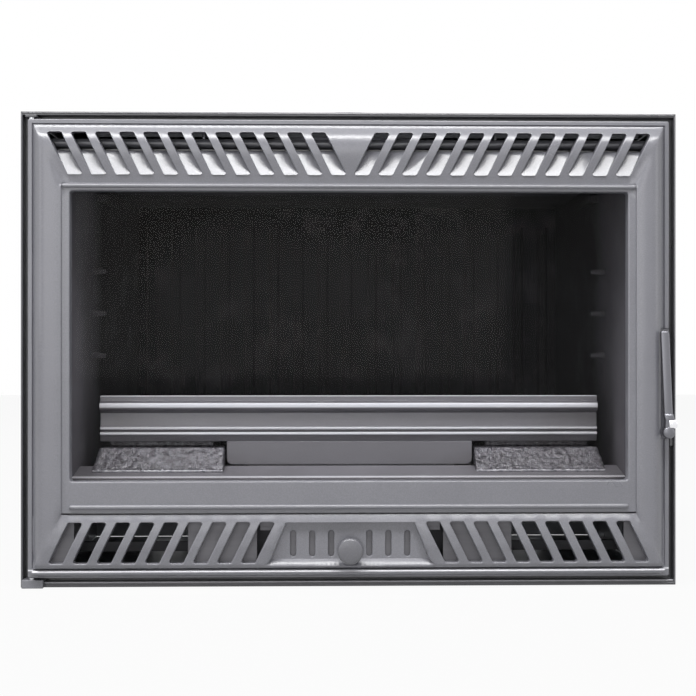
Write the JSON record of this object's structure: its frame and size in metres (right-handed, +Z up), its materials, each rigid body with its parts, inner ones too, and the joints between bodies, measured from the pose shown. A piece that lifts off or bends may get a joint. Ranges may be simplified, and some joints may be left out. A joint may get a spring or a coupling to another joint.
{
  "type": "fireplace insert",
  "caption": "Built-in cast-iron fireplace insert: side-hung glazed door with slanted grilles, lever latch and sliding air knob, firebox with grate, convection casing and flue collar.",
  "frame": {"origin": "middle of the whole object's footprint, on its underside", "axes": "+X to the right seen from the room, +Y away from the room, +Z up"},
  "size_m": [0.7, 0.422, 0.528],
  "materials": {
    "painted_iron": "grey metallic high-temperature paint over as-cast iron",
    "fired_iron": "bare cast iron, darkened by heat",
    "casing_steel": "folded sheet steel, grey high-temperature paint",
    "bright_steel": "zinc-plated steel",
    "ceramic_glass": "clear fire-resistant ceramic glass, polished",
    "glass_fibre": "braided glass-fibre rope and tape, graphite grey"
  },
  "bodies": {
    "insert_body": {"front_frame": "painted_iron", "hinge_block_lower": "painted_iron", "hinge_bracket_upper": "painted_iron", "hinge_pin_lower": "bright_steel", "hinge_pin_upper": "bright_steel", "latch_keeper": "bright_steel", "firebox_floor": "painted_iron", "side_wall_right": "fired_iron", "side_wall_left": "fired_iron", "rear_wall": "fired_iron", "firebox_top": "painted_iron", "flue_collar": "painted_iron", "collar_bolt_1": "bright_steel", "collar_bolt_2": "bright_steel", "collar_bolt_3": "bright_steel", "collar_bolt_4": "bright_steel", "baffle_plate": "fired_iron", "retainer_bracket_right": "painted_iron", "retainer_bracket_left": "painted_iron", "apron_plate": "painted_iron", "ash_box": "casing_steel", "ash_pan": "casing_steel", "casing_top": "casing_steel", "casing_right": "casing_steel", "casing_left": "casing_steel", "casing_rear": "casing_steel", "casing_base": "casing_steel", "convection_rail_right": "casing_steel", "convection_rail_left": "casing_steel", "casing_gusset_right": "casing_steel", "casing_gusset_left": "casing_steel"},
    "door": {"door_frame": "painted_iron", "door_glass": "ceramic_glass", "glass_gasket": "glass_fibre", "door_gasket": "glass_fibre", "glass_clip_top_left": "bright_steel", "glass_clip_top_right": "bright_steel", "glass_clip_bottom_left": "bright_steel", "glass_clip_bottom_right": "bright_steel", "clip_screw_top_left": "bright_steel", "clip_screw_top_right": "bright_steel", "clip_screw_bottom_left": "bright_steel", "clip_screw_bottom_right": "bright_steel", "register_plate_right": "casing_steel", "register_plate_left": "casing_steel", "slider_guide_upper": "casing_steel", "slider_guide_lower": "casing_steel"},
    "air_control": {"air_slider": "casing_steel", "air_knob_stem": "bright_steel", "air_knob": "painted_iron"},
    "handle": {"handle_lever": "painted_iron", "latch_shaft": "bright_steel", "latch_cam": "bright_steel", "latch_washer": "bright_steel", "latch_nut": "bright_steel"},
    "retainer": {"fuel_retainer": "painted_iron"},
    "floor_grate": {"grate": "fired_iron"}
  },
  "joints": [
    {"name": "door_hinge", "type": "hinge", "parent": "insert_body", "child": "door", "pos_m": [-0.338, -0.182, 0.25], "axis": [0, 0, -1], "range_deg": [0, 100]},
    {"name": "handle_turn", "type": "hinge", "parent": "door", "child": "handle", "pos_m": [0.3375, -0.187, 0.165], "axis": [0, 1, 0], "range_deg": [0, 80]},
    {"name": "air_slide", "type": "slide", "parent": "door", "child": "air_control", "axis": [1, 0, 0], "range_m": [-0.01, 0.01]},
    {"name": "retainer_lift", "type": "slide", "parent": "insert_body", "child": "retainer", "axis": [0, 0, 1], "range_m": [0, 0.04]},
    {"name": "grate_lift", "type": "slide", "parent": "insert_body", "child": "floor_grate", "axis": [0, 0, 1], "range_m": [0, 0.04]}
  ]
}
